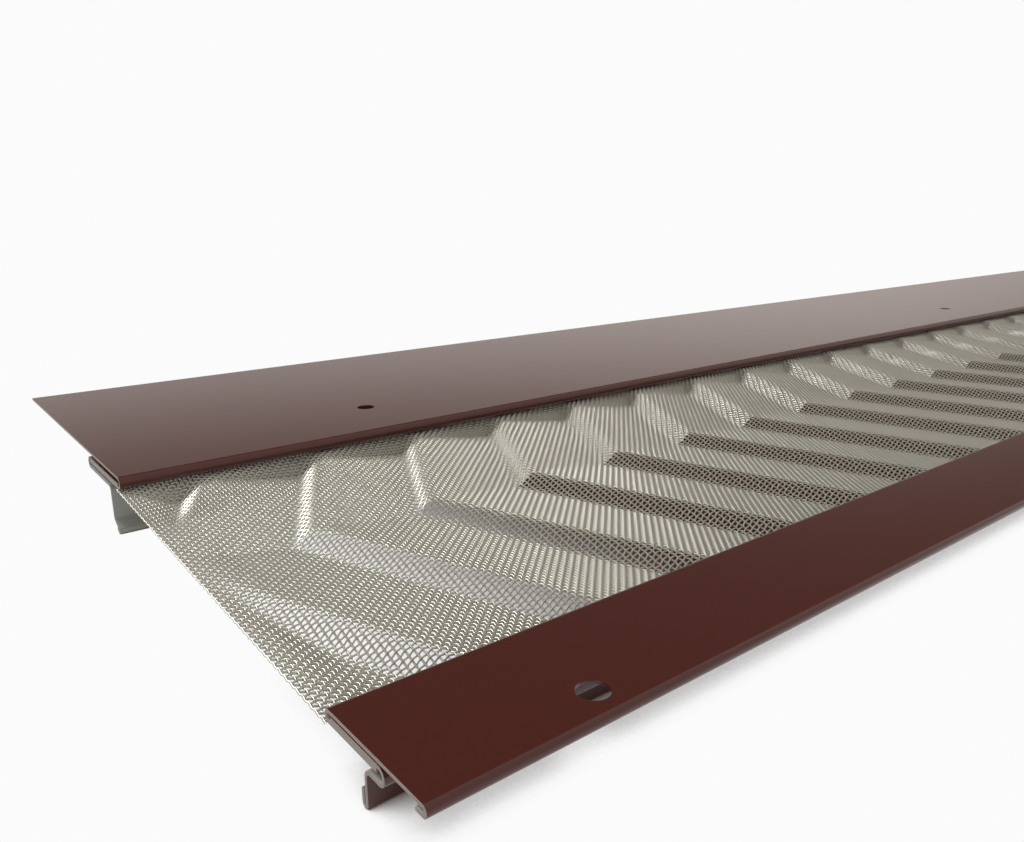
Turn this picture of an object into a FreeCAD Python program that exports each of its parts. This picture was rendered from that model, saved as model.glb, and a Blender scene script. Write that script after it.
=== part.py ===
import FreeCAD, Part
import math
import os

os.makedirs("parts", exist_ok=True)

# Overall sizes, in mm. X runs along the stock, Y from the gutter's lip to the roof, Z up from the floor.
LENGTH = 1219.2
BACK_COVER_WIDTH = 66.3
MESH_SPAN = 63.5
FRONT_COVER_WIDTH = 15.8
BACK_TOP = 9.5
FRONT_TOP = 5.9

# The coated sheet and its folds.
SHEET = 0.4
PLAY = 0.05
BACK_BEAD_GAP = 1.1
FRONT_BEAD_GAP = 0.6
LEG_BEND = 0.5
FOOT_BEND = 0.6
FOOT_HEM_BEND = 0.05
LEG_HEM_BEND = 0.1

# The lock under each cover, measured from the nose of its bead.
BACK_LOCK_REACH = 19.3
FRONT_LOCK_REACH = 9.9
LOCK_END_PLAY = 0.3
LIP_START_PLAY = 0.4

# Legs, measured from the nose of the bead to the leg's outer face.
BACK_LEG_SET = 5.9
FRONT_LEG_SET = 7.0
FOOT_TURN = 63.4
FOOT_FLAT = 1.9
FOOT_HEM = 0.9
LEG_HEM = 1.2

# Screw holes.
HOLE_DIAMETER = 3.2
HOLE_COUNT = 6
BACK_HOLE_SET = 15.95
BACK_HOLE_MARGIN = 47.3
FRONT_HOLE_SET = 3.45
FRONT_HOLE_MARGIN = 18.9

# The woven mesh: a sheet as thick as two wires, pleated in a chevron.
MESH_SHEET = 0.5
PLEAT_PERIOD = 18.2
PLEAT_HEIGHT = 2.0
STEEP_SHARE = 0.16
FIRST_STEEP_CENTRE = 33.3
VERTEX_SET = 53.0
BACK_SLANT = 27.0
FRONT_SLANT = 17.5
PRESSED_RUN = 4.5

# Plain openings in the pleats' wide flanks: they stand for the far finer weave and take away as much of it.
OPENING_WIDTH = 7.4
OPENING_RIB = 2.0

# Places that follow from the sizes.
WIDTH = BACK_COVER_WIDTH + MESH_SPAN + FRONT_COVER_WIDTH
FRONT_EDGE = -WIDTH / 2
BACK_EDGE = WIDTH / 2
FRONT_NOSE = FRONT_EDGE + FRONT_COVER_WIDTH
BACK_NOSE = BACK_EDGE - BACK_COVER_WIDTH
LEFT_END = -LENGTH / 2
HALF_SHEET = SHEET / 2
LOCK_BEND = (SHEET + MESH_SHEET + 3 * PLAY) / 2
LOCK_OUTER = LOCK_BEND + SHEET
STEEP_WIDTH = STEEP_SHARE * PLEAT_PERIOD
SPARE_PLEATS = 4
PLEAT_COUNT = math.ceil(LENGTH / PLEAT_PERIOD) + SPARE_PLEATS + 1
FIRST_VALLEY = LEFT_END + FIRST_STEEP_CENTRE - STEEP_WIDTH / 2 - SPARE_PLEATS * PLEAT_PERIOD


class Fold:
    """A sheet drawn in section, in the plane of Y and Z, as flats and bends along its middle line."""

    def __init__(self, y, z, forward):
        self.spot = FreeCAD.Vector(0, y, z)
        self.heading = math.pi if forward else 0.0
        self.left_edges = []
        self.right_edges = []
        self.first = self.sides()

    def sides(self):
        """The points of the sheet's two faces beside the place that the path has reached."""
        across = FreeCAD.Vector(0, -math.sin(self.heading), math.cos(self.heading)) * HALF_SHEET
        return self.spot + across, self.spot - across

    def flat(self, length):
        """A straight stretch."""
        left, right = self.sides()
        self.spot = self.spot + FreeCAD.Vector(0, math.cos(self.heading), math.sin(self.heading)) * length
        new_left, new_right = self.sides()
        self.left_edges.append(Part.makeLine(left, new_left))
        self.right_edges.append(Part.makeLine(right, new_right))
        return self

    def bend(self, degrees, inner_radius):
        """A bend to the left by some degrees, or to the right where they are negative."""
        side = math.copysign(1, degrees)
        middle_radius = inner_radius + HALF_SHEET
        normal = FreeCAD.Vector(0, -math.sin(self.heading), math.cos(self.heading)) * side
        centre = self.spot + normal * middle_radius
        start_heading = self.heading
        passed = [self.sides()]
        for share in (0.5, 1.0):
            self.heading = start_heading + math.radians(degrees) * share
            turned = FreeCAD.Vector(0, -math.sin(self.heading), math.cos(self.heading)) * side
            self.spot = centre - turned * middle_radius
            passed.append(self.sides())
        self.left_edges.append(Part.Arc(*[pair[0] for pair in passed]).toShape())
        self.right_edges.append(Part.Arc(*[pair[1] for pair in passed]).toShape())
        return self

    def strip(self):
        """The solid of the folded sheet over the whole length."""
        left, right = self.sides()
        edges = self.left_edges + [Part.makeLine(left, right)] + self.right_edges[::-1]
        edges.append(Part.makeLine(self.first[1], self.first[0]))
        face = Part.Face(Part.Wire(edges))
        face.translate(FreeCAD.Vector(LEFT_END, 0, 0))
        return face.extrude(FreeCAD.Vector(LENGTH, 0, 0))


class Lock:
    """Heights of the layers under one cover, from its bead down to the tail that holds the mesh."""

    def __init__(self, top, bead_gap):
        return_top = top - SHEET - bead_gap
        self.bead_radius = bead_gap / 2 + SHEET
        self.cover = top - HALF_SHEET
        self.lip = return_top + PLAY + HALF_SHEET
        self.selvage = return_top - SHEET - PLAY - MESH_SHEET / 2
        self.tail = self.lip - 2 * LOCK_BEND - SHEET


def hole_row(margin, y, bottom, top):
    """Drills for one row of screw holes, through all the layers between two heights."""
    pitch = (LENGTH - 2 * margin) / (HOLE_COUNT - 1)
    deep = top - bottom + 2 * SHEET
    drills = []
    for number in range(HOLE_COUNT):
        spot = FreeCAD.Vector(LEFT_END + margin + number * pitch, y, bottom - SHEET)
        drills.append(Part.makeCylinder(HOLE_DIAMETER / 2, deep, spot))
    return Part.makeCompound(drills)


def back_cover_strip(lock):
    """The wide strip for the roof: a flat flange, its bead, and the return under it."""
    fold = Fold(BACK_EDGE, lock.cover, forward=True)
    fold.flat(BACK_COVER_WIDTH - lock.bead_radius)
    fold.bend(180, BACK_BEAD_GAP / 2)
    fold.flat(BACK_LOCK_REACH - LOCK_OUTER - LOCK_END_PLAY - lock.bead_radius)
    return fold.strip()


def front_cover_strip(lock):
    """The narrow strip for the gutter's lip, folded the other way round."""
    fold = Fold(FRONT_EDGE, lock.cover, forward=False)
    fold.flat(FRONT_COVER_WIDTH - lock.bead_radius)
    fold.bend(-180, FRONT_BEAD_GAP / 2)
    fold.flat(FRONT_LOCK_REACH - LOCK_OUTER - LOCK_END_PLAY - lock.bead_radius)
    return fold.strip()


def back_leg_strip(lock):
    """Lip inside the bead, fold round the return and the mesh, tail, leg, foot and the hem under the foot."""
    leg_radius = LEG_BEND + HALF_SHEET
    foot_radius = FOOT_BEND + HALF_SHEET
    hem_radius = FOOT_HEM_BEND + HALF_SHEET
    turn = math.radians(FOOT_TURN)
    lip_start = lock.bead_radius + LIP_START_PLAY
    lock_start = BACK_LOCK_REACH - LOCK_OUTER
    foot_end = hem_radius + HALF_SHEET + hem_radius * math.sin(turn)
    foot_drop = foot_radius * math.sin(turn) + FOOT_FLAT * math.cos(turn)
    fold = Fold(BACK_NOSE + lip_start, lock.lip, forward=False)
    fold.flat(lock_start - lip_start)
    fold.bend(-180, LOCK_BEND)
    fold.flat(lock_start - BACK_LEG_SET - HALF_SHEET - leg_radius)
    fold.bend(90, LEG_BEND)
    fold.flat(lock.tail - leg_radius - foot_drop - foot_end)
    fold.bend(-FOOT_TURN, FOOT_BEND)
    fold.flat(FOOT_FLAT)
    fold.bend(180, FOOT_HEM_BEND)
    fold.flat(FOOT_HEM)
    return fold.strip()


def front_leg_strip(lock):
    """The same lock the other way round, with a short leg that ends in a rounded hem."""
    leg_radius = LEG_BEND + HALF_SHEET
    hem_radius = LEG_HEM_BEND + HALF_SHEET
    lip_start = lock.bead_radius + LIP_START_PLAY
    lock_start = FRONT_LOCK_REACH - LOCK_OUTER
    fold = Fold(FRONT_NOSE - lip_start, lock.lip, forward=True)
    fold.flat(lock_start - lip_start)
    fold.bend(180, LOCK_BEND)
    fold.flat(lock_start - FRONT_LEG_SET + HALF_SHEET - leg_radius)
    fold.bend(-90, LEG_BEND)
    fold.flat(lock.tail - leg_radius - hem_radius - HALF_SHEET)
    fold.bend(180, LEG_HEM_BEND)
    fold.flat(LEG_HEM)
    return fold.strip()


def pleat_section(y, shift, middle, height):
    """A closed section of the mesh across the stock, longer than it at both ends, at one Y."""
    folds = []
    for number in range(PLEAT_COUNT):
        valley = FIRST_VALLEY + shift + number * PLEAT_PERIOD
        folds.append((valley, middle - height))
        folds.append((valley + STEEP_WIDTH, middle))
    half = MESH_SHEET / 2
    upper = [FreeCAD.Vector(x, y, z + half) for x, z in folds]
    lower = [FreeCAD.Vector(x, y, z - half) for x, z in folds]
    outline = upper + lower[::-1]
    return Part.makePolygon(outline + [outline[0]])


def openings(vertex, nose, lean):
    """Upright cutters for one side of the chevron, from its vertex to a nose.

    Each one follows the slant of the pleats, in the middle of one wide flank.
    """
    margin = (PLEAT_PERIOD - STEEP_WIDTH - OPENING_WIDTH) / 2
    rib = math.copysign(OPENING_RIB / 2, nose - vertex)
    near = vertex + rib
    far = nose - rib
    near_shift = lean * abs(near - vertex)
    far_shift = lean * abs(far - vertex)
    cutters = []
    for number in range(PLEAT_COUNT):
        left = FIRST_VALLEY + number * PLEAT_PERIOD + STEEP_WIDTH + margin
        right = left + OPENING_WIDTH
        if left + near_shift < LEFT_END + OPENING_RIB:
            continue
        if right + far_shift > LEFT_END + LENGTH - OPENING_RIB:
            continue
        corners = [
            FreeCAD.Vector(left + near_shift, near, 0),
            FreeCAD.Vector(right + near_shift, near, 0),
            FreeCAD.Vector(right + far_shift, far, 0),
            FreeCAD.Vector(left + far_shift, far, 0),
        ]
        face = Part.Face(Part.makePolygon(corners + [corners[0]]))
        cutters.append(face.extrude(FreeCAD.Vector(0, 0, BACK_TOP)))
    return cutters


def mesh_screen(back_lock, front_lock):
    """A ruled loft through flat, pleated and flat sections, cut off square at both ends.

    The pleats run on to both noses, and are pressed flat under the covers before the locks take hold.
    """
    vertex = FRONT_EDGE + VERTEX_SET
    back_flat = BACK_NOSE + PRESSED_RUN
    front_flat = FRONT_NOSE - PRESSED_RUN
    back_hem = BACK_NOSE + BACK_LOCK_REACH - LOCK_OUTER - LOCK_END_PLAY
    front_hem = FRONT_NOSE - FRONT_LOCK_REACH + LOCK_OUTER + LOCK_END_PLAY
    slope = (back_lock.selvage - front_lock.selvage) / (back_flat - front_flat)
    back_lean = math.tan(math.radians(BACK_SLANT))
    front_lean = math.tan(math.radians(FRONT_SLANT))

    def section(y, pleated):
        """The section at one Y, with the shift of the chevron there."""
        inside = min(max(y, front_flat), back_flat)
        middle = front_lock.selvage + slope * (inside - front_flat)
        lean = back_lean if inside > vertex else front_lean
        return pleat_section(y, lean * abs(inside - vertex), middle, PLEAT_HEIGHT if pleated else 0.0)

    places = (
        (front_hem, False),
        (front_flat, False),
        (FRONT_NOSE, True),
        (vertex, True),
        (BACK_NOSE, True),
        (back_flat, False),
        (back_hem, False),
    )
    rolled = Part.makeLoft([section(y, pleated) for y, pleated in places], True, True)
    cut_box = Part.makeBox(LENGTH, WIDTH, 2 * BACK_TOP, FreeCAD.Vector(LEFT_END, FRONT_EDGE, -BACK_TOP))
    back_openings = openings(vertex, BACK_NOSE, back_lean)
    front_openings = openings(vertex, FRONT_NOSE, front_lean)
    return rolled.common(cut_box).cut(Part.makeCompound(back_openings + front_openings))


back_lock = Lock(BACK_TOP, BACK_BEAD_GAP)
front_lock = Lock(FRONT_TOP, FRONT_BEAD_GAP)
back_holes = hole_row(BACK_HOLE_MARGIN, BACK_NOSE + BACK_HOLE_SET, back_lock.tail, BACK_TOP)
front_holes = hole_row(FRONT_HOLE_MARGIN, FRONT_EDGE + FRONT_HOLE_SET, front_lock.cover, FRONT_TOP)
pieces = {
    "back_cover_strip": back_cover_strip(back_lock).cut(back_holes),
    "back_leg_strip": back_leg_strip(back_lock).cut(back_holes),
    "mesh_screen": mesh_screen(back_lock, front_lock).cut(back_holes),
    "front_cover_strip": front_cover_strip(front_lock).cut(front_holes),
    "front_leg_strip": front_leg_strip(front_lock),
}
for name, shape in pieces.items():
    shape.exportStep("parts/" + name + ".step")
    box = shape.BoundBox
    print(name, len(shape.Solids), shape.isValid(), round(shape.Volume, 1), len(shape.Faces))
    print("  y", round(box.YMin, 2), round(box.YMax, 2), "z", round(box.ZMin, 3), round(box.ZMax, 3))
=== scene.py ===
"""A length of gutter guard on a pale floor: folded coated strips with pleated, woven wire mesh between them.

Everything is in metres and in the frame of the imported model. The four strips are bent from one sheet each, by
extruding and spinning an edge of a plane, and the mesh is woven from single wires.
"""

from __future__ import annotations

import logging
import math
from dataclasses import dataclass, field
from enum import Enum
from typing import Any

import bmesh
import bpy
import numpy as np
from mathutils import Matrix, Vector

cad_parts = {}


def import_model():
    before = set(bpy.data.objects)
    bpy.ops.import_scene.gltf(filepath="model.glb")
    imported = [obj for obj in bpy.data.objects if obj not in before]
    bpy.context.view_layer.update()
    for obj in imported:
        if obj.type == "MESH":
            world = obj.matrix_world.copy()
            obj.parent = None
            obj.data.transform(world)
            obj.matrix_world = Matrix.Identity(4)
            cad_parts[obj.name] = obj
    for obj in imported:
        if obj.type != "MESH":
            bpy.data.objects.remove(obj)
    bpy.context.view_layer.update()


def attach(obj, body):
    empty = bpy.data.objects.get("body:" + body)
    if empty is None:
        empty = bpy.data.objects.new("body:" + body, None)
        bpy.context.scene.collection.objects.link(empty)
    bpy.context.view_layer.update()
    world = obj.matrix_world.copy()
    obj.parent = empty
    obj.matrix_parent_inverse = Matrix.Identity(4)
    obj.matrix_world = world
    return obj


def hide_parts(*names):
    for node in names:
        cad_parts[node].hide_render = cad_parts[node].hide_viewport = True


LOG = logging.getLogger("gutter_guard")

MM = 0.001
BODY = "root"
WHITE = (1.0, 1.0, 1.0, 1.0)
# The Mix node's results share one name, so its colour is found by number.
MIX_COLOUR = 2


class Coat(Enum):
    """The finishes of one coated sheet, in the order of its material slots."""

    FACE = 0
    BACK = 1
    EDGE = 2


class Turn(Enum):
    """Which way a bend turns, seen from the +X end, with +Y to the right and +Z up."""

    LEFT = 1.0
    RIGHT = -1.0


@dataclass(frozen=True)
class Sizes:
    """The guard's real sizes, in metres and radians.

    They are those of its CAD source, but for front_slant, which was measured again,
    edge_hem and edge_hem_bend, the front strip's folded edge, back_press_end, where the pleats are flat under
    the back cover, and crushed_run, over which the shears pressed them flat at the ends.
    """

    length: float = 1219.2 * MM
    back_cover: float = 66.3 * MM
    mesh_span: float = 63.5 * MM
    front_cover: float = 15.8 * MM
    back_top: float = 9.5 * MM
    front_top: float = 5.9 * MM
    sheet: float = 0.4 * MM
    play: float = 0.05 * MM
    back_bead_gap: float = 1.1 * MM
    front_bead_gap: float = 0.6 * MM
    leg_bend: float = 0.5 * MM
    foot_bend: float = 0.6 * MM
    foot_hem_bend: float = 0.05 * MM
    leg_hem_bend: float = 0.1 * MM
    back_lock_reach: float = 19.3 * MM
    front_lock_reach: float = 9.9 * MM
    lock_end_play: float = 0.3 * MM
    lip_start_play: float = 0.4 * MM
    back_leg_set: float = 5.9 * MM
    front_leg_set: float = 7.0 * MM
    foot_turn: float = math.radians(63.4)
    foot_flat: float = 1.9 * MM
    foot_hem: float = 0.9 * MM
    leg_hem: float = 1.2 * MM
    edge_hem: float = 1.6 * MM
    edge_hem_bend: float = 0.2 * MM
    hole_radius: float = 1.6 * MM
    hole_count: int = 6
    back_hole_set: float = 15.95 * MM
    back_hole_margin: float = 47.3 * MM
    front_hole_set: float = 3.45 * MM
    front_hole_margin: float = 18.9 * MM
    mesh_sheet: float = 0.5 * MM
    pleat_period: float = 18.2 * MM
    pleat_height: float = 2.0 * MM
    steep_share: float = 0.16
    first_steep_centre: float = 33.3 * MM
    vertex_set: float = 53.0 * MM
    back_slant: float = math.radians(27.0)
    front_slant: float = math.radians(24.2)
    pressed_run: float = 4.5 * MM
    back_press_end: float = 1.8 * MM
    crushed_run: float = 7.0 * MM

    @property
    def front_edge(self) -> float:
        """Y of the front strip's front edge."""
        return -(self.back_cover + self.mesh_span + self.front_cover) / 2

    @property
    def front_nose(self) -> float:
        """Y of the nose of the front strip's bead."""
        return self.front_edge + self.front_cover

    @property
    def back_nose(self) -> float:
        """Y of the nose of the back strip's bead."""
        return self.front_nose + self.mesh_span

    @property
    def back_edge(self) -> float:
        """Y of the back strip's raw edge."""
        return self.back_nose + self.back_cover

    @property
    def lock_bend(self) -> float:
        """Inner radius of the fold round the return and the mesh's edge."""
        return (self.sheet + self.mesh_sheet + 3 * self.play) / 2

    @property
    def lock_outer(self) -> float:
        """Outer radius of that fold."""
        return self.lock_bend + self.sheet


@dataclass(frozen=True)
class Layers:
    """Heights of the middle of each layer under one cover.

    Attributes:
        sizes: The guard's sizes.
        top: Height of the cover's face.
        gap: Clear height inside the cover's bead.
    """

    sizes: Sizes
    top: float
    gap: float

    @property
    def cover(self) -> float:
        """The cover itself."""
        return self.top - self.sizes.sheet / 2

    @property
    def bead_radius(self) -> float:
        """Outer radius of the bead."""
        return self.gap / 2 + self.sizes.sheet

    @property
    def lip(self) -> float:
        """The lip of the leg strip, inside the bead."""
        return self.top - self.sizes.sheet / 2 - self.gap + self.sizes.play

    @property
    def selvage(self) -> float:
        """The mesh's flat edge under the return."""
        below = self.sizes.sheet + self.gap + self.sizes.sheet + self.sizes.play
        return self.top - below - self.sizes.mesh_sheet / 2

    @property
    def tail(self) -> float:
        """The tail of the leg strip, under the mesh's edge."""
        return self.lip - 2 * self.sizes.lock_bend - self.sizes.sheet


def linear(code: str) -> tuple[float, float, float, float]:
    """Turns an sRGB hex code into a linear colour.

    Args:
        code: Six hex digits.

    Returns:
        Red, green and blue in linear light, and an alpha of 1.
    """
    parts = [int(code[i : i + 2], 16) / 255 for i in (0, 2, 4)]
    light = [c / 12.92 if c <= 0.04045 else ((c + 0.055) / 1.055) ** 2.4 for c in parts]
    return light[0], light[1], light[2], 1.0


def add_node(tree: bpy.types.NodeTree, kind: str, **values: Any) -> bpy.types.Node:
    """Adds one shader node and sets its inputs and attributes.

    Args:
        tree: The node tree.
        kind: The node's type name.
        **values: Attributes, or inputs with blanks as underscores and _001 for the second of a name. A
            socket is linked, any other value is set.

    Returns:
        The new node.
    """
    node = tree.nodes.new(kind)
    for key, value in values.items():
        if hasattr(node, key):
            setattr(node, key, value)
            continue
        name, _, number = key.partition("_00")
        named = [socket for socket in node.inputs if socket.name == name.replace("_", " ") and socket.enabled]
        socket = named[int(number or 0)]
        if isinstance(value, bpy.types.NodeSocket):
            tree.links.new(value, socket)
        else:
            socket.default_value = value
    return node


@dataclass(frozen=True)
class Finish:
    """One surface finish.

    Attributes:
        name: The material's name.
        colour: sRGB hex code of the surface.
        metallic: How far it is bare metal.
        roughness: Mean roughness.
        uneven: How far the roughness wanders.
        grain: Size of the fine relief, in metres.
        relief: Depth of the fine relief, in metres.
        octaves: Levels of detail in the grain.
    """

    name: str
    colour: str
    metallic: float
    roughness: float
    uneven: float
    grain: float
    relief: float
    octaves: float = 3.0

    def material(self) -> bpy.types.Material:
        """Makes the material.

        Returns:
            A node material in Object coordinates.
        """
        material = bpy.data.materials.new(self.name)
        material.use_nodes = True
        tree = material.node_tree
        tree.nodes.clear()
        coords = add_node(tree, "ShaderNodeTexCoord")
        noise = add_node(
            tree, "ShaderNodeTexNoise",
            Vector=coords.outputs["Object"], Scale=1 / self.grain, Detail=self.octaves,
        )
        spread = add_node(
            tree, "ShaderNodeMapRange", Value=noise.outputs["Fac"],
            To_Min=self.roughness - self.uneven, To_Max=self.roughness + self.uneven,
        )
        bump = add_node(
            tree, "ShaderNodeBump", Height=noise.outputs["Fac"], Strength=1.0, Distance=self.relief
        )
        shader = add_node(
            tree, "ShaderNodeBsdfPrincipled", Base_Color=linear(self.colour), Metallic=self.metallic,
            Roughness=spread.outputs["Result"], Normal=bump.outputs["Normal"],
        )
        add_node(tree, "ShaderNodeOutputMaterial", Surface=shader.outputs["BSDF"])
        return material


# Polyester coil coating, rolled on and baked: satin, with a faint orange peel.
BROWN_COAT = Finish(
    "brown_coil_coating", "4d231c",
    metallic=0.0, roughness=0.24, uneven=0.03, grain=1.2 * MM, relief=0.004 * MM,
)
# Thin grey wash coat on the back of the same coil.
GREY_BACK = Finish(
    "grey_back_coat", "a4a9a6",
    metallic=0.0, roughness=0.42, uneven=0.05, grain=0.9 * MM, relief=0.004 * MM,
)
# Zinc and steel where the shears cut the strip.
CUT_EDGE = Finish(
    "sheared_steel_edge", "8d8077",
    metallic=0.3, roughness=0.5, uneven=0.08, grain=0.3 * MM, relief=0.01 * MM,
)
# Drawn stainless wire, bright but not polished.
WIRE = Finish(
    "drawn_stainless_wire", "bebcb2",
    metallic=0.85, roughness=0.4, uneven=0.06, grain=0.4 * MM, relief=0.004 * MM,
)


def active(obj: bpy.types.Object) -> None:
    """Selects one object alone and makes it active.

    Args:
        obj: The object.
    """
    bpy.ops.object.select_all(action="DESELECT")
    obj.select_set(True)
    bpy.context.view_layer.objects.active = obj


def finish_piece(obj: bpy.types.Object, name: str, node: str) -> None:
    """Names a piece, ties it to the frame and reports it.

    Args:
        obj: The piece, at the origin.
        name: Its name.
        node: The CAD node that it stands for.
    """
    obj.name = name
    obj.data.name = name
    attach(obj, BODY)
    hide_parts(node)
    LOG.info("%s: %d faces", name, len(obj.data.polygons))


@dataclass
class FoldedStrip:
    """A strip of coated sheet that is bent along its length by flats and bends.

    Attributes:
        name: The piece's name.
        node: The CAD node that it stands for.
        slot: Name of the piece's material slot; not used.
        sizes: The guard's sizes.
        materials: Face, back and edge materials.
        spot: Y and Z of the middle of the sheet where the path has come to.
        heading: Direction of the path, in radians from +Y.
        starts_face_up: Whether the first flat's coated face is up, and not under a hem.
        steps_per_turn: Steps of a full turn, in a bend.
        least_steps: Fewest steps of a bend.
        same_spot: How near to the path's end the leading edge lies.
        weld: How near two points are that become one.
        rim_wall: Thickness of the rim that is drawn down round a hole.
        hole_sides: Sides of a hole.
        drill_depth: Length of a drill.
        edge_break: Width of the broken edges.
        edge_break_steps: Steps across them.
        broken_from: Angle from which an edge is broken.
        smooth_below: Angle below which the shading is smooth.
    """

    name: str
    node: str
    slot: str
    sizes: Sizes
    materials: list[bpy.types.Material]
    spot: Vector = field(default_factory=lambda: Vector((0, 0, 0)))
    heading: float = 0.0
    starts_face_up: bool = True
    steps_per_turn: int = 48
    least_steps: int = 4
    same_spot: float = 0.01 * MM
    weld: float = 0.001 * MM
    rim_wall: float = 0.15 * MM
    hole_sides: int = 40
    drill_depth: float = 8.0 * MM
    edge_break: float = 0.04 * MM
    edge_break_steps: int = 2
    broken_from: float = math.radians(50)
    smooth_below: float = math.radians(35)

    def ahead(self) -> Vector:
        """The path's direction.

        Returns:
            A unit vector in the section's plane.
        """
        return Vector((0, math.cos(self.heading), math.sin(self.heading)))

    def begin(self, y: float, z: float, forward: bool, length: float) -> None:
        """Lays the first flat as a plane, and leaves its leading edge selected in edit mode.

        Args:
            y: Where the sheet's raw edge lies.
            z: Height of the sheet's middle.
            forward: Whether the path goes towards the front.
            length: Length of the first flat.
        """
        self.heading = math.pi if forward else 0.0
        start = Vector((0, y, z))
        self.spot = start + self.ahead() * length
        bpy.ops.object.select_all(action="DESELECT")
        bpy.ops.mesh.primitive_plane_add(size=1.0, location=(0, 0, 0))
        bpy.ops.object.mode_set(mode="EDIT")
        bpy.ops.mesh.select_all(action="SELECT")
        bpy.ops.transform.resize(value=(self.sizes.length, length, 1.0))
        bpy.ops.transform.translate(value=(start + self.spot) / 2)
        self.pick_leading_edge()

    def pick_leading_edge(self) -> None:
        """Selects the edge at the path's end and nothing else."""
        sheet = bmesh.from_edit_mesh(bpy.context.edit_object.data)
        bpy.ops.mesh.select_all(action="DESELECT")
        bpy.ops.mesh.select_mode(type="EDGE")
        for edge in sheet.edges:
            offs = [Vector((0, v.co.y, v.co.z)) - self.spot for v in edge.verts]
            edge.select_set(all(off.length < self.same_spot for off in offs))
        bmesh.update_edit_mesh(bpy.context.edit_object.data)

    def flat(self, length: float) -> None:
        """Extrudes a flat.

        Args:
            length: Its length.
        """
        move = self.ahead() * length
        bpy.ops.mesh.extrude_region_move(TRANSFORM_OT_translate={"value": move})
        self.spot = self.spot + move
        self.pick_leading_edge()

    def bend(self, angle: float, inner_radius: float, turn: Turn) -> None:
        """Spins the leading edge round a bend.

        Args:
            angle: Size of the bend, in radians.
            inner_radius: Radius on the inside of the sheet.
            turn: Which way it turns.
        """
        radius = inner_radius + self.sizes.sheet / 2
        side = Vector((0, -math.sin(self.heading), math.cos(self.heading))) * turn.value
        centre = self.spot + side * radius
        steps = max(self.least_steps, round(self.steps_per_turn * angle / math.tau))
        bpy.ops.mesh.spin(steps=steps, angle=-turn.value * angle, center=centre, axis=(1, 0, 0))
        self.heading += turn.value * angle
        out = Vector((0, -math.sin(self.heading), math.cos(self.heading))) * turn.value
        self.spot = centre - out * radius
        self.pick_leading_edge()

    def end(self, holes: list[Vector], rim_reach: float = 0.0) -> None:
        """Gives the sheet its thickness, drills it, breaks its raw edges and ties it to the frame.

        Args:
            holes: Centres of the screw holes, at the height of the sheet's middle.
            rim_reach: How far below that a rim is drawn down round each hole.
        """
        bpy.ops.mesh.select_all(action="SELECT")
        bpy.ops.mesh.remove_doubles(threshold=self.weld)
        bpy.ops.mesh.normals_make_consistent(inside=False)
        bpy.ops.object.mode_set(mode="OBJECT")
        strip = bpy.context.active_object
        if (strip.data.polygons[0].normal.z > 0) != self.starts_face_up:
            strip.data.flip_normals()
        for material in self.materials:
            strip.data.materials.append(material)
        thick = strip.modifiers.new("thickness", "SOLIDIFY")
        thick.thickness = self.sizes.sheet
        thick.offset = 0.0
        thick.use_even_offset = True
        thick.material_offset = Coat.BACK.value
        thick.material_offset_rim = Coat.EDGE.value
        bpy.ops.object.modifier_apply(modifier=thick.name)
        if holes:
            self.drill(strip, holes)
        if rim_reach:
            self.draw_rims(strip, holes, rim_reach)
        active(strip)
        broken = strip.modifiers.new("broken_edges", "BEVEL")
        broken.width = self.edge_break
        broken.segments = self.edge_break_steps
        broken.limit_method = "ANGLE"
        broken.angle_limit = self.broken_from
        bpy.ops.object.modifier_apply(modifier=broken.name)
        bpy.ops.object.shade_smooth_by_angle(angle=self.smooth_below)
        level = strip.modifiers.new("level_flats", "WEIGHTED_NORMAL")
        level.keep_sharp = True
        bpy.ops.object.modifier_apply(modifier=level.name)
        finish_piece(strip, self.name, self.node)

    def draw_rims(self, strip: bpy.types.Object, holes: list[Vector], reach: float) -> None:
        """Adds the rim that the punch drew down round each hole.

        Args:
            strip: The drilled strip.
            holes: Centres of the holes, at the height of the sheet's middle.
            reach: How far the rims go down from there.
        """
        rims = []
        for centre in holes:
            bpy.ops.mesh.primitive_cylinder_add(
                vertices=self.hole_sides, radius=self.sizes.hole_radius, depth=reach,
                end_fill_type="NOTHING",
                location=centre - Vector((0, 0, reach / 2)),
            )
            rim = bpy.context.active_object
            rim.data.materials.append(self.materials[Coat.FACE.value])
            wall = rim.modifiers.new("wall", "SOLIDIFY")
            wall.thickness = self.rim_wall
            wall.offset = 1.0
            bpy.ops.object.modifier_apply(modifier=wall.name)
            rims.append(rim)
        active(strip)
        for rim in rims:
            rim.select_set(True)
        bpy.ops.object.join()

    def drill(self, strip: bpy.types.Object, holes: list[Vector]) -> None:
        """Cuts the screw holes.

        Args:
            strip: The thick strip.
            holes: Centres of the holes.
        """
        drills = []
        for centre in holes:
            bpy.ops.mesh.primitive_cylinder_add(
                vertices=self.hole_sides, radius=self.sizes.hole_radius, depth=self.drill_depth,
                location=centre,
            )
            drills.append(bpy.context.active_object)
        active(drills[0])
        for drill in drills:
            drill.select_set(True)
        bpy.ops.object.join()
        cutter = bpy.context.active_object
        for material in self.materials:
            cutter.data.materials.append(material)
        for face in cutter.data.polygons:
            face.material_index = Coat.FACE.value
        active(strip)
        cut = strip.modifiers.new("holes", "BOOLEAN")
        cut.operation = "DIFFERENCE"
        cut.solver = "EXACT"
        cut.object = cutter
        bpy.ops.object.modifier_apply(modifier=cut.name)
        active(cutter)
        bpy.ops.object.delete()


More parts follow.
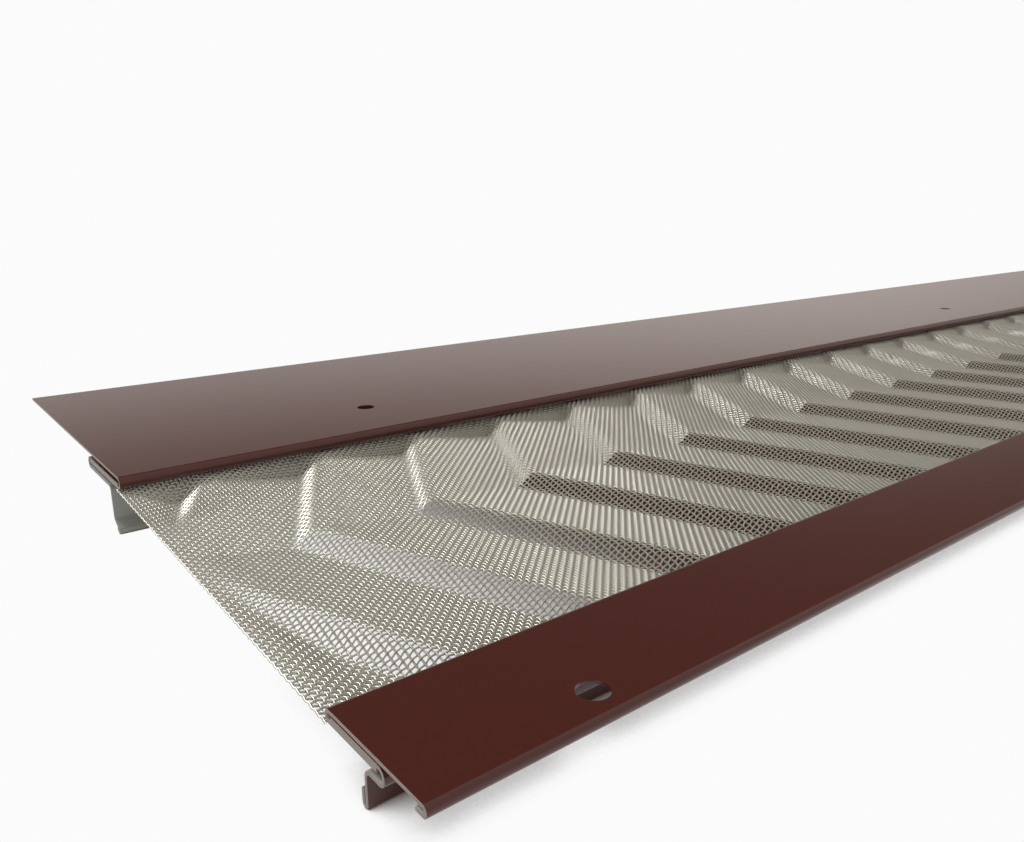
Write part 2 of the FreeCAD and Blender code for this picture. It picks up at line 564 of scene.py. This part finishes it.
@dataclass
class Covers:
    """The two brown cover strips.

    Attributes:
        sizes: The guard's sizes.
        materials: Face, back and edge materials.
    """

    sizes: Sizes
    materials: list[bpy.types.Material]

    def hole_row(self, margin: float, y: float, z: float) -> list[Vector]:
        """Centres of one row of screw holes.

        Args:
            margin: Distance of the first and last hole from the ends.
            y: Where the row lies.
            z: Height of the drills' middle.

        Returns:
            The centres.
        """
        s = self.sizes
        places = np.linspace(-s.length / 2 + margin, s.length / 2 - margin, s.hole_count)
        return [Vector((x, y, z)) for x in places]

    def back_holes(self, z: float) -> list[Vector]:
        """Centres of the back row, which goes through the back leg strip too.

        Args:
            z: Height of the drills' middle.

        Returns:
            The centres.
        """
        s = self.sizes
        return self.hole_row(s.back_hole_margin, s.back_nose + s.back_hole_set, z)

    def wide(self, back: Layers) -> None:
        """Makes the back strip: the cover, its bead and the return under it.

        Args:
            back: Heights of the back strip's layers.
        """
        s = self.sizes
        strip = FoldedStrip("back_cover", "back_cover_strip", "brown_coated_steel", s, self.materials)
        strip.begin(s.back_edge, back.cover, True, s.back_cover - back.bead_radius)
        strip.bend(math.pi, s.back_bead_gap / 2, Turn.LEFT)
        strip.flat(s.back_lock_reach - s.lock_outer - s.lock_end_play - back.bead_radius)
        rim_reach = back.cover - back.lip - s.sheet / 2
        strip.end(self.back_holes(back.cover), rim_reach)

    def narrow(self, front: Layers) -> None:
        """Makes the front strip: its hem, the cover, its bead and the return under it.

        Args:
            front: Heights of the front strip's layers.
        """
        s = self.sizes
        hem_radius = s.edge_hem_bend + s.sheet / 2
        hem_reach = hem_radius + s.sheet / 2
        strip = FoldedStrip(
            "front_cover", "front_cover_strip", "brown_coated_steel", s, self.materials, starts_face_up=False
        )
        strip.begin(s.front_edge + s.edge_hem, front.cover - 2 * hem_radius, True, s.edge_hem - hem_reach)
        strip.bend(math.pi, s.edge_hem_bend, Turn.RIGHT)
        strip.flat(s.front_cover - front.bead_radius - hem_reach)
        strip.bend(math.pi, s.front_bead_gap / 2, Turn.RIGHT)
        strip.flat(s.front_lock_reach - s.lock_outer - s.lock_end_play - front.bead_radius)
        strip.end(self.hole_row(s.front_hole_margin, s.front_edge + s.front_hole_set, front.cover))

    def build(self, back: Layers, front: Layers) -> None:
        """Makes both strips.

        Args:
            back: Heights of the back strip's layers.
            front: Heights of the front strip's layers.
        """
        self.wide(back)
        self.narrow(front)


@dataclass
class Legs:
    """The two strips that are locked under the covers and stand on the floor.

    Attributes:
        sizes: The guard's sizes.
        materials: Face, back and edge materials.
    """

    sizes: Sizes
    materials: list[bpy.types.Material]

    def tall(self, back: Layers, covers: Covers) -> None:
        """Makes the back strip: its lip, the lock, the tail, the leg, the slanted foot and its hem.

        Args:
            back: Heights of the back strip's layers.
            covers: The covers, whose back holes go through this strip too.
        """
        s = self.sizes
        half = s.sheet / 2
        leg_radius = s.leg_bend + half
        foot_radius = s.foot_bend + half
        hem_radius = s.foot_hem_bend + half
        lip_start = back.bead_radius + s.lip_start_play
        lock_start = s.back_lock_reach - s.lock_outer
        foot_end = hem_radius + half + hem_radius * math.sin(s.foot_turn)
        foot_drop = foot_radius * math.sin(s.foot_turn) + s.foot_flat * math.cos(s.foot_turn)
        strip = FoldedStrip("back_leg", "back_leg_strip", "grey_backed_steel", s, self.materials)
        strip.begin(s.back_nose + lip_start, back.lip, False, lock_start - lip_start)
        strip.bend(math.pi, s.lock_bend, Turn.RIGHT)
        strip.flat(lock_start - s.back_leg_set - half - leg_radius)
        strip.bend(math.pi / 2, s.leg_bend, Turn.LEFT)
        strip.flat(back.tail - leg_radius - foot_drop - foot_end)
        strip.bend(s.foot_turn, s.foot_bend, Turn.RIGHT)
        strip.flat(s.foot_flat)
        strip.bend(math.pi, s.foot_hem_bend, Turn.LEFT)
        strip.flat(s.foot_hem)
        strip.end(covers.back_holes(back.lip))

    def short(self, front: Layers) -> None:
        """Makes the front strip: its lip, the lock, the tail, the leg and its rounded hem.

        Args:
            front: Heights of the front strip's layers.
        """
        s = self.sizes
        half = s.sheet / 2
        leg_radius = s.leg_bend + half
        hem_radius = s.leg_hem_bend + half
        lip_start = front.bead_radius + s.lip_start_play
        lock_start = s.front_lock_reach - s.lock_outer
        strip = FoldedStrip("front_leg", "front_leg_strip", "grey_backed_steel", s, self.materials)
        strip.begin(s.front_nose - lip_start, front.lip, True, lock_start - lip_start)
        strip.bend(math.pi, s.lock_bend, Turn.LEFT)
        strip.flat(lock_start - s.front_leg_set + half - leg_radius)
        strip.bend(math.pi / 2, s.leg_bend, Turn.RIGHT)
        strip.flat(front.tail - leg_radius - hem_radius - half)
        strip.bend(math.pi, s.leg_hem_bend, Turn.LEFT)
        strip.flat(s.leg_hem)
        strip.end([])

    def build(self, back: Layers, front: Layers, covers: Covers) -> None:
        """Makes both strips.

        Args:
            back: Heights of the back strip's layers.
            front: Heights of the front strip's layers.
            covers: The covers, which the strips are locked to.
        """
        self.tall(back, covers)
        self.short(front)


@dataclass
class WovenMesh:
    """Plain-woven wire mesh, pleated in a chevron, its wires along and across the stock.

    Attributes:
        sizes: The guard's sizes.
        material: The wire's material.
        back: Heights of the back strip's layers.
        front: Heights of the front strip's layers.
        pitch: Distance of two wires, forty to the inch.
        wire: Diameter of the wire.
        fine_run: How far from the left end the wires pass over and under each other.
        fine_parts: How many pieces that stretch is divided into.
        plain_parts: How many pieces the rest is divided into.
        back_tuck: How far the mesh is shown under the back cover.
        front_tuck: How far it is shown under the front cover.
        fold_blur: Half the width of a fold, as a share of the pleats' period.
        fold_samples: How many sharp folds a rounded one is the mean of.
        slope_step: How far to each side the mesh's slope is taken.
        side_drop: How far a wire's sides lie below its middle, as a share of its radius.
        plain_steps: How many crossings a straight wire spans at a time, along and across the stock.
        plain_lift: How far straight wires lie over the mesh's middle, as a share of their radius.
    """

    sizes: Sizes
    material: bpy.types.Material
    back: Layers
    front: Layers
    pitch: float = 25.4 / 40 * MM
    wire: float = 0.25 * MM
    fine_run: float = 390.0 * MM
    fine_parts: int = 3
    plain_parts: int = 3
    back_tuck: float = 3.0 * MM
    front_tuck: float = 0.4 * MM
    fold_blur: float = 0.05
    fold_samples: int = 7
    slope_step: float = 0.1 * MM
    side_drop: float = 0.5
    plain_steps: tuple[int, int] = (2, 4)
    plain_lift: float = 0.5

    @property
    def end_column(self) -> int:
        """Number of the last column of crossings, counted from the middle of the stock."""
        return round(self.sizes.length / 2 / self.pitch)

    def height(self, x: np.ndarray, y: np.ndarray) -> np.ndarray:
        """Height of the mesh's middle.

        Args:
            x: Places along the stock.
            y: Places across it.

        Returns:
            Heights, of the same shape.
        """
        s = self.sizes
        vertex = s.front_edge + s.vertex_set
        lean = np.where(y > vertex, math.tan(s.back_slant), math.tan(s.front_slant))
        start = -s.length / 2 + s.first_steep_centre - s.steep_share * s.pleat_period / 2
        phase = (x - start - lean * np.abs(y - vertex)) / s.pleat_period
        level = np.zeros_like(x)
        blurs = np.linspace(-self.fold_blur, self.fold_blur, self.fold_samples)
        for blur in blurs:
            turn = (phase + blur) % 1.0
            up = turn / s.steep_share
            down = (1 - turn) / (1 - s.steep_share)
            level += np.minimum(up, down) / len(blurs)
        front_flat = s.front_nose - s.pressed_run
        back_flat = s.back_nose + s.back_press_end
        pressed = np.clip(np.minimum(y - front_flat, back_flat - y) / s.pressed_run, 0, 1)
        inside = np.clip((s.length / 2 - np.abs(x)) / s.crushed_run, 0, 1)
        crushed = inside * inside * (3 - 2 * inside)
        share = np.clip((y - front_flat) / (back_flat - front_flat), 0, 1)
        middle = self.front.selvage + share * (self.back.selvage - self.front.selvage)
        return middle - s.pleat_height * (1 - level) * pressed * crushed

    def directions(self, x: np.ndarray, y: np.ndarray, lengthwise: bool) -> tuple[np.ndarray, np.ndarray]:
        """Directions out of the mesh and across its wires.

        Args:
            x: Places along the stock.
            y: Places across it.
            lengthwise: Whether the wires run along X, and not along Y.

        Returns:
            Unit vectors square to the mesh, and unit vectors in it that are square to the wires.
        """
        step = self.slope_step
        slope_x = (self.height(x + step, y) - self.height(x - step, y)) / (2 * step)
        slope_y = (self.height(x, y + step) - self.height(x, y - step)) / (2 * step)
        none = np.zeros_like(x)
        full = np.ones_like(x)
        normal = np.stack([-slope_x, -slope_y, full], -1)
        normal /= np.linalg.norm(normal, axis=-1, keepdims=True)
        along = np.stack([full, none, slope_x] if lengthwise else [none, full, slope_y], -1)
        along /= np.linalg.norm(along, axis=-1, keepdims=True)
        return normal, np.cross(normal, along)

    def wires(
        self, columns: range, lengthwise: bool, fine: bool
    ) -> tuple[np.ndarray, np.ndarray, np.ndarray]:
        """One of the two sets of wires between two columns of crossings.

        Args:
            columns: Numbers of the columns, the last of which is shared with the next piece.
            lengthwise: Whether the wires run along X, and not along Y.
            fine: Whether the wires pass over and under each other, and don't lie straight.

        Returns:
            Corner points, the normals of a round wire at them, and faces of four corners.
        """
        s = self.sizes
        first = math.ceil((s.front_nose - self.front_tuck) / self.pitch)
        step_x, step_y = self.plain_steps
        last = first + int((s.mesh_span + self.front_tuck + self.back_tuck) / self.pitch / step_y) * step_y
        cols = np.array(columns)
        rows = np.arange(first, last + 1)
        if not fine and lengthwise:
            cols = cols[::step_x]
        elif not fine:
            rows = rows[::step_y]
        col, row = np.meshgrid(cols, rows, indexing="ij")
        x = col * self.pitch
        y = row * self.pitch
        normal, across = self.directions(x, y, lengthwise)
        radius = self.wire / 2
        over = np.full_like(x, self.plain_lift)
        if fine:
            over = np.where((col + row) % 2 == int(lengthwise), -1.0, 1.0)
        middle = np.stack([x, y, self.height(x, y)], -1) + normal * over[..., None] * radius
        low = normal * radius * self.side_drop
        corners = [middle + across * radius - low, middle + normal * radius, middle - across * radius - low]
        rounds = [across, normal, -across]
        count = len(corners)
        number = np.arange(col.size).reshape(col.shape) * count
        if lengthwise:
            here = number[:-1, :].ravel()
            next_one = number[1:, :].ravel()
        else:
            here = number[:, :-1].ravel()
            next_one = number[:, 1:].ravel()
        faces = [
            np.stack([here + i + 1, next_one + i + 1, next_one + i, here + i], -1) for i in range(count - 1)
        ]
        points = np.stack(corners, 2).reshape(-1, 3)
        normals = np.stack(rounds, 2).reshape(-1, 3)
        return points, normals, np.concatenate(faces)

    def weave(self, name: str, start: int, stop: int, fine: bool) -> None:
        """Weaves one piece.

        Args:
            name: The piece's name.
            start: Number of its first column.
            stop: Number of the column where the next piece starts.
            fine: Whether its wires pass over and under each other.
        """
        last = stop == self.end_column
        long_points, long_rounds, long_faces = self.wires(range(start, stop + 1), True, fine)
        cross_points, cross_rounds, cross_faces = self.wires(range(start, stop + last), False, fine)
        points = np.concatenate([long_points, cross_points])
        rounds = np.concatenate([long_rounds, cross_rounds])
        faces = np.concatenate([long_faces, cross_faces + len(long_points)])
        mesh = bpy.data.meshes.new(name)
        mesh.from_pydata(points, [], faces)
        mesh.update()
        mesh.shade_smooth()
        mesh.normals_split_custom_set_from_vertices(rounds)
        piece = bpy.data.objects.new(name, mesh)
        bpy.context.scene.collection.objects.link(piece)
        mesh.materials.append(self.material)
        finish_piece(piece, name, "mesh_screen")

    def build(self) -> None:
        """Weaves the mesh in pieces: woven at the left end, of straight wires in the rest."""
        end = self.end_column
        step = self.plain_steps[0]
        change = end - int((2 * end - self.fine_run / self.pitch) / step) * step
        fine = np.linspace(-end, change, self.fine_parts + 1).round().astype(int).tolist()
        plain = (np.linspace(change, end, self.plain_parts + 1) / step).round().astype(int) * step
        cuts = fine + plain.tolist()[1:]
        for number, (start, stop) in enumerate(zip(cuts, cuts[1:]), 1):
            self.weave(f"woven_mesh_{number}", start, stop, number <= self.fine_parts)


@dataclass(frozen=True)
class Studio:
    """The floor, the light and the camera.

    Attributes:
        sizes: The guard's sizes.
        eye: Place of the camera.
        heading: Its direction on the floor, from +X towards +Y, in degrees.
        dip: How far it looks down, in degrees.
        roll: How far its right side hangs down, in degrees.
        lens: Its focal length, in mm.
        sensor: Width of its sensor, in mm.
        clip: Nearest and farthest distance that it shows.
        floor_size: Width of the floor.
        shade_reach: How far off a thing still darkens the floor's painted shade.
        shade_samples: How many directions the shade is looked for in.
        shade_dark: How open a spot of the floor is, at most, that shows the darkest shade.
        shade_clear: How open it is, at least, where it shows white.
        leg_fade: Where, inside the legs, the painted deep shade under the mesh starts and is full.
        end_fade: Where, inside the open ends, it starts and is full.
        paper_level: How white the table and the background show.
        paper_colour: sRGB hex code of the table, as it lights other things.
        shade_colour: sRGB hex code of the darkest painted shade, the dark brown painted on the floor under the
            mesh and near what stands on it.
        glow_angle: Angles over the roof's side where the surround's glow falls off and has ended, in degrees.
        glow_height: Sines of the heights where it falls off and has ended.
        tent_from: Angle from which the tent rises out of the dark, in degrees.
        tent_full: Angle from which it is bright, over the top and down on the lip's side, in degrees.
        glow_level: Strength of the glow.
        dim_level: Strength of the dark between the glow and the tent.
        tent_level: Strength of the tent.
        surround_colour: sRGB hex code of the surround.
        lamp_breadth: Angle over which the lamp spreads, in degrees.
        lamp_level: Strength of the lamp.
        lamp_heading: Where the lamp stands, from +X towards +Y, in degrees.
        lamp_height: How high it stands, in degrees.
    """

    sizes: Sizes
    eye: tuple[float, float, float] = (-0.63516, -0.11559, 0.04596)
    heading: float = 52.086
    dip: float = 14.397
    roll: float = 0.6
    lens: float = 29.67
    sensor: float = 36.0
    clip: tuple[float, float] = (0.005, 100.0)
    floor_size: float = 60.0
    shade_reach: float = 6.5 * MM
    shade_samples: int = 12
    shade_dark: float = 0.2
    shade_clear: float = 0.62
    leg_fade: tuple[float, float] = (3.0 * MM, 10.0 * MM)
    end_fade: tuple[float, float] = (8.0 * MM, 58.0 * MM)
    paper_level: float = 0.965
    paper_colour: str = "d8d8d6"
    shade_colour: str = "3a2822"
    glow_angle: tuple[float, float] = (18.0, 32.0)
    glow_height: tuple[float, float] = (0.15, 0.28)
    tent_from: float = 52.0
    tent_full: float = 75.0
    glow_level: float = 1.0
    dim_level: float = 0.05
    tent_level: float = 0.72
    surround_colour: str = "fff8f2"
    lamp_breadth: float = 22.0
    lamp_level: float = 2.0
    lamp_heading: float = 112.0
    lamp_height: float = 38.0

    def table(self) -> bpy.types.Material:
        """Makes the floor's finish: matt white for the light that it throws back, and for camera and glossy
        rays a white glow with painted shade near what stands on it and a dark brown painted shadow under the
        mesh.

        Returns:
            The material.
        """
        material = bpy.data.materials.new("white_table_painted_shade")
        material.use_nodes = True
        tree = material.node_tree
        tree.nodes.clear()
        paths = add_node(tree, "ShaderNodeLightPath")
        seen = add_node(
            tree, "ShaderNodeMath", operation="MAXIMUM",
            Value=paths.outputs["Is Camera Ray"], Value_001=paths.outputs["Is Glossy Ray"],
        )
        shut_in = add_node(tree, "ShaderNodeAmbientOcclusion", Distance=self.shade_reach)
        shut_in.samples = self.shade_samples
        open_to = add_node(
            tree, "ShaderNodeMapRange", interpolation_type="SMOOTHSTEP",
            Value=shut_in.outputs["AO"], From_Min=self.shade_dark, From_Max=self.shade_clear,
        )
        clear = add_node(
            tree, "ShaderNodeMath", operation="MULTIPLY",
            Value=open_to.outputs["Result"], Value_001=self.outside_painted_shadow(tree),
        )
        # Painted shade: camera and glossy rays see the floor as an even white glow, darkened towards the dark
        # brown where ambient occlusion finds something near and under the mesh between the legs.
        tint = add_node(
            tree, "ShaderNodeMix", data_type="RGBA", Factor=clear.outputs["Value"],
            A=linear(self.shade_colour), B=WHITE,
        )
        white = add_node(
            tree, "ShaderNodeEmission", Color=tint.outputs[MIX_COLOUR], Strength=self.paper_level
        )
        matt = add_node(tree, "ShaderNodeBsdfDiffuse", Color=linear(self.paper_colour))
        both = add_node(
            tree, "ShaderNodeMixShader",
            Fac=seen.outputs["Value"], Shader=matt.outputs["BSDF"], Shader_001=white.outputs["Emission"],
        )
        add_node(tree, "ShaderNodeOutputMaterial", Surface=both.outputs["Shader"])
        return material

    def outside_painted_shadow(self, tree: bpy.types.NodeTree) -> bpy.types.NodeSocket:
        """Works out how far a spot of the floor lies outside the space between the legs, under the mesh, where
        a dark painted shadow is put by position.

        Args:
            tree: The floor's node tree.

        Returns:
            A socket that is 0 under the mesh and 1 outside.
        """
        s = self.sizes
        under = (s.front_nose - s.front_leg_set, s.back_nose + s.back_leg_set)
        coords = add_node(tree, "ShaderNodeTexCoord")
        place = add_node(tree, "ShaderNodeSeparateXYZ", Vector=coords.outputs["Object"])
        off_line = add_node(
            tree, "ShaderNodeMath", operation="SUBTRACT", Value=place.outputs["Y"], Value_001=sum(under) / 2
        )
        # Painted shadow: full between the legs and in from the open ends, fading out over leg_fade and
        # end_fade.
        sides = (
            (off_line.outputs["Value"], (under[1] - under[0]) / 2, self.leg_fade),
            (place.outputs["X"], s.length / 2, self.end_fade),
        )
        outside = []
        for coordinate, half, (starts, full) in sides:
            far = add_node(tree, "ShaderNodeMath", operation="ABSOLUTE", Value=coordinate)
            fade = add_node(
                tree, "ShaderNodeMapRange", interpolation_type="SMOOTHSTEP",
                Value=far.outputs["Value"], From_Min=half - full, From_Max=half - starts,
            )
            outside.append(fade.outputs["Result"])
        either = add_node(tree, "ShaderNodeMath", operation="MAXIMUM", Value=outside[0], Value_001=outside[1])
        return either.outputs["Value"]

    def floor(self) -> None:
        """Lays a large pale floor."""
        bpy.ops.object.select_all(action="DESELECT")
        bpy.ops.mesh.primitive_plane_add(size=self.floor_size, location=(0, 0, 0))
        floor = bpy.context.active_object
        floor.name = "floor"
        floor.data.materials.append(self.table())

    def towards(self, heading: float, height: float) -> Vector:
        """The direction to a place in the surround.

        Args:
            heading: From +X towards +Y, in degrees.
            height: Above the floor, in degrees.

        Returns:
            A unit vector.
        """
        turn = math.radians(heading)
        rise = math.radians(height)
        return Vector((math.cos(turn) * math.cos(rise), math.sin(turn) * math.cos(rise), math.sin(rise)))

    def light(self) -> None:
        """Sets a glow low on the roof's side, a tent over the lip's side, and a soft lamp behind."""
        world = bpy.data.worlds.new("studio")
        bpy.context.scene.world = world
        world.use_nodes = True
        tree = world.node_tree
        tree.nodes.clear()
        coords = add_node(tree, "ShaderNodeTexCoord")
        parts = add_node(tree, "ShaderNodeSeparateXYZ", Vector=coords.outputs["Generated"])
        over = add_node(
            tree, "ShaderNodeMath", operation="ARCTAN2",
            Value=parts.outputs["Z"], Value_001=parts.outputs["Y"],
        )
        low = add_node(
            tree, "ShaderNodeMapRange", interpolation_type="SMOOTHSTEP", Value=over.outputs["Value"],
            From_Min=math.radians(self.glow_angle[0]), From_Max=math.radians(self.glow_angle[1]),
            To_Min=1.0, To_Max=0.0,
        )
        fall = add_node(
            tree, "ShaderNodeMapRange", interpolation_type="SMOOTHSTEP", Value=parts.outputs["Z"],
            From_Min=self.glow_height[0], From_Max=self.glow_height[1], To_Min=self.glow_level, To_Max=0.0,
        )
        tent = add_node(
            tree, "ShaderNodeMapRange", interpolation_type="SMOOTHSTEP", Value=over.outputs["Value"],
            From_Min=math.radians(self.tent_from), From_Max=math.radians(self.tent_full),
            To_Min=self.dim_level, To_Max=self.tent_level,
        )
        around = add_node(
            tree, "ShaderNodeMath", operation="MULTIPLY_ADD",
            Value=low.outputs["Result"], Value_001=fall.outputs["Result"], Value_002=tent.outputs["Result"],
        )
        paths = add_node(tree, "ShaderNodeLightPath")
        level = add_node(
            tree, "ShaderNodeMix",
            Factor=paths.outputs["Is Camera Ray"], A=around.outputs["Value"], B=self.paper_level,
        )
        tint = add_node(
            tree, "ShaderNodeMix", data_type="RGBA", Factor=paths.outputs["Is Camera Ray"],
            A=linear(self.surround_colour), B=WHITE,
        )
        back = add_node(
            tree, "ShaderNodeBackground", Color=tint.outputs[MIX_COLOUR], Strength=level.outputs["Result"]
        )
        add_node(tree, "ShaderNodeOutputWorld", Surface=back.outputs["Background"])
        bpy.ops.object.light_add(type="SUN")
        lamp = bpy.context.active_object
        lamp.name = "soft_lamp"
        lamp.data.angle = math.radians(self.lamp_breadth)
        lamp.data.energy = self.lamp_level
        source = self.towards(self.lamp_heading, self.lamp_height)
        lamp.rotation_euler = (-source).to_track_quat("-Z", "Y").to_euler()

    def camera(self) -> None:
        """Sets the camera at the photograph's view."""
        turn = math.radians(self.heading)
        dip = math.radians(self.dip)
        roll = math.radians(self.roll)
        level = Vector((math.cos(turn), math.sin(turn), 0))
        right = Vector((math.sin(turn), -math.cos(turn), 0))
        ahead = level * math.cos(dip) - Vector((0, 0, math.sin(dip)))
        up = level * math.sin(dip) + Vector((0, 0, math.cos(dip)))
        right_rolled = right * math.cos(roll) - up * math.sin(roll)
        up_rolled = up * math.cos(roll) + right * math.sin(roll)
        axes = Matrix((right_rolled, up_rolled, -ahead)).transposed()
        bpy.ops.object.camera_add()
        camera = bpy.context.active_object
        camera.name = "camera"
        camera.matrix_world = Matrix.Translation(self.eye) @ axes.to_4x4()
        camera.data.lens = self.lens
        camera.data.sensor_width = self.sensor
        camera.data.clip_start = self.clip[0]
        camera.data.clip_end = self.clip[1]
        bpy.context.scene.camera = camera

    def build(self) -> None:
        """Makes the whole studio."""
        self.floor()
        self.light()
        self.camera()
        bpy.context.scene.view_settings.view_transform = "Standard"


def main() -> None:
    """Builds the scene."""
    logging.basicConfig(level=logging.INFO)
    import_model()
    sizes = Sizes()
    sheet = [finish.material() for finish in (BROWN_COAT, GREY_BACK, CUT_EDGE)]
    back = Layers(sizes, sizes.back_top, sizes.back_bead_gap)
    front = Layers(sizes, sizes.front_top, sizes.front_bead_gap)
    covers = Covers(sizes, sheet)
    covers.build(back, front)
    Legs(sizes, sheet).build(back, front, covers)
    WovenMesh(sizes, WIRE.material(), back, front).build()
    Studio(sizes).build()


if __name__ == "__main__":
    main()
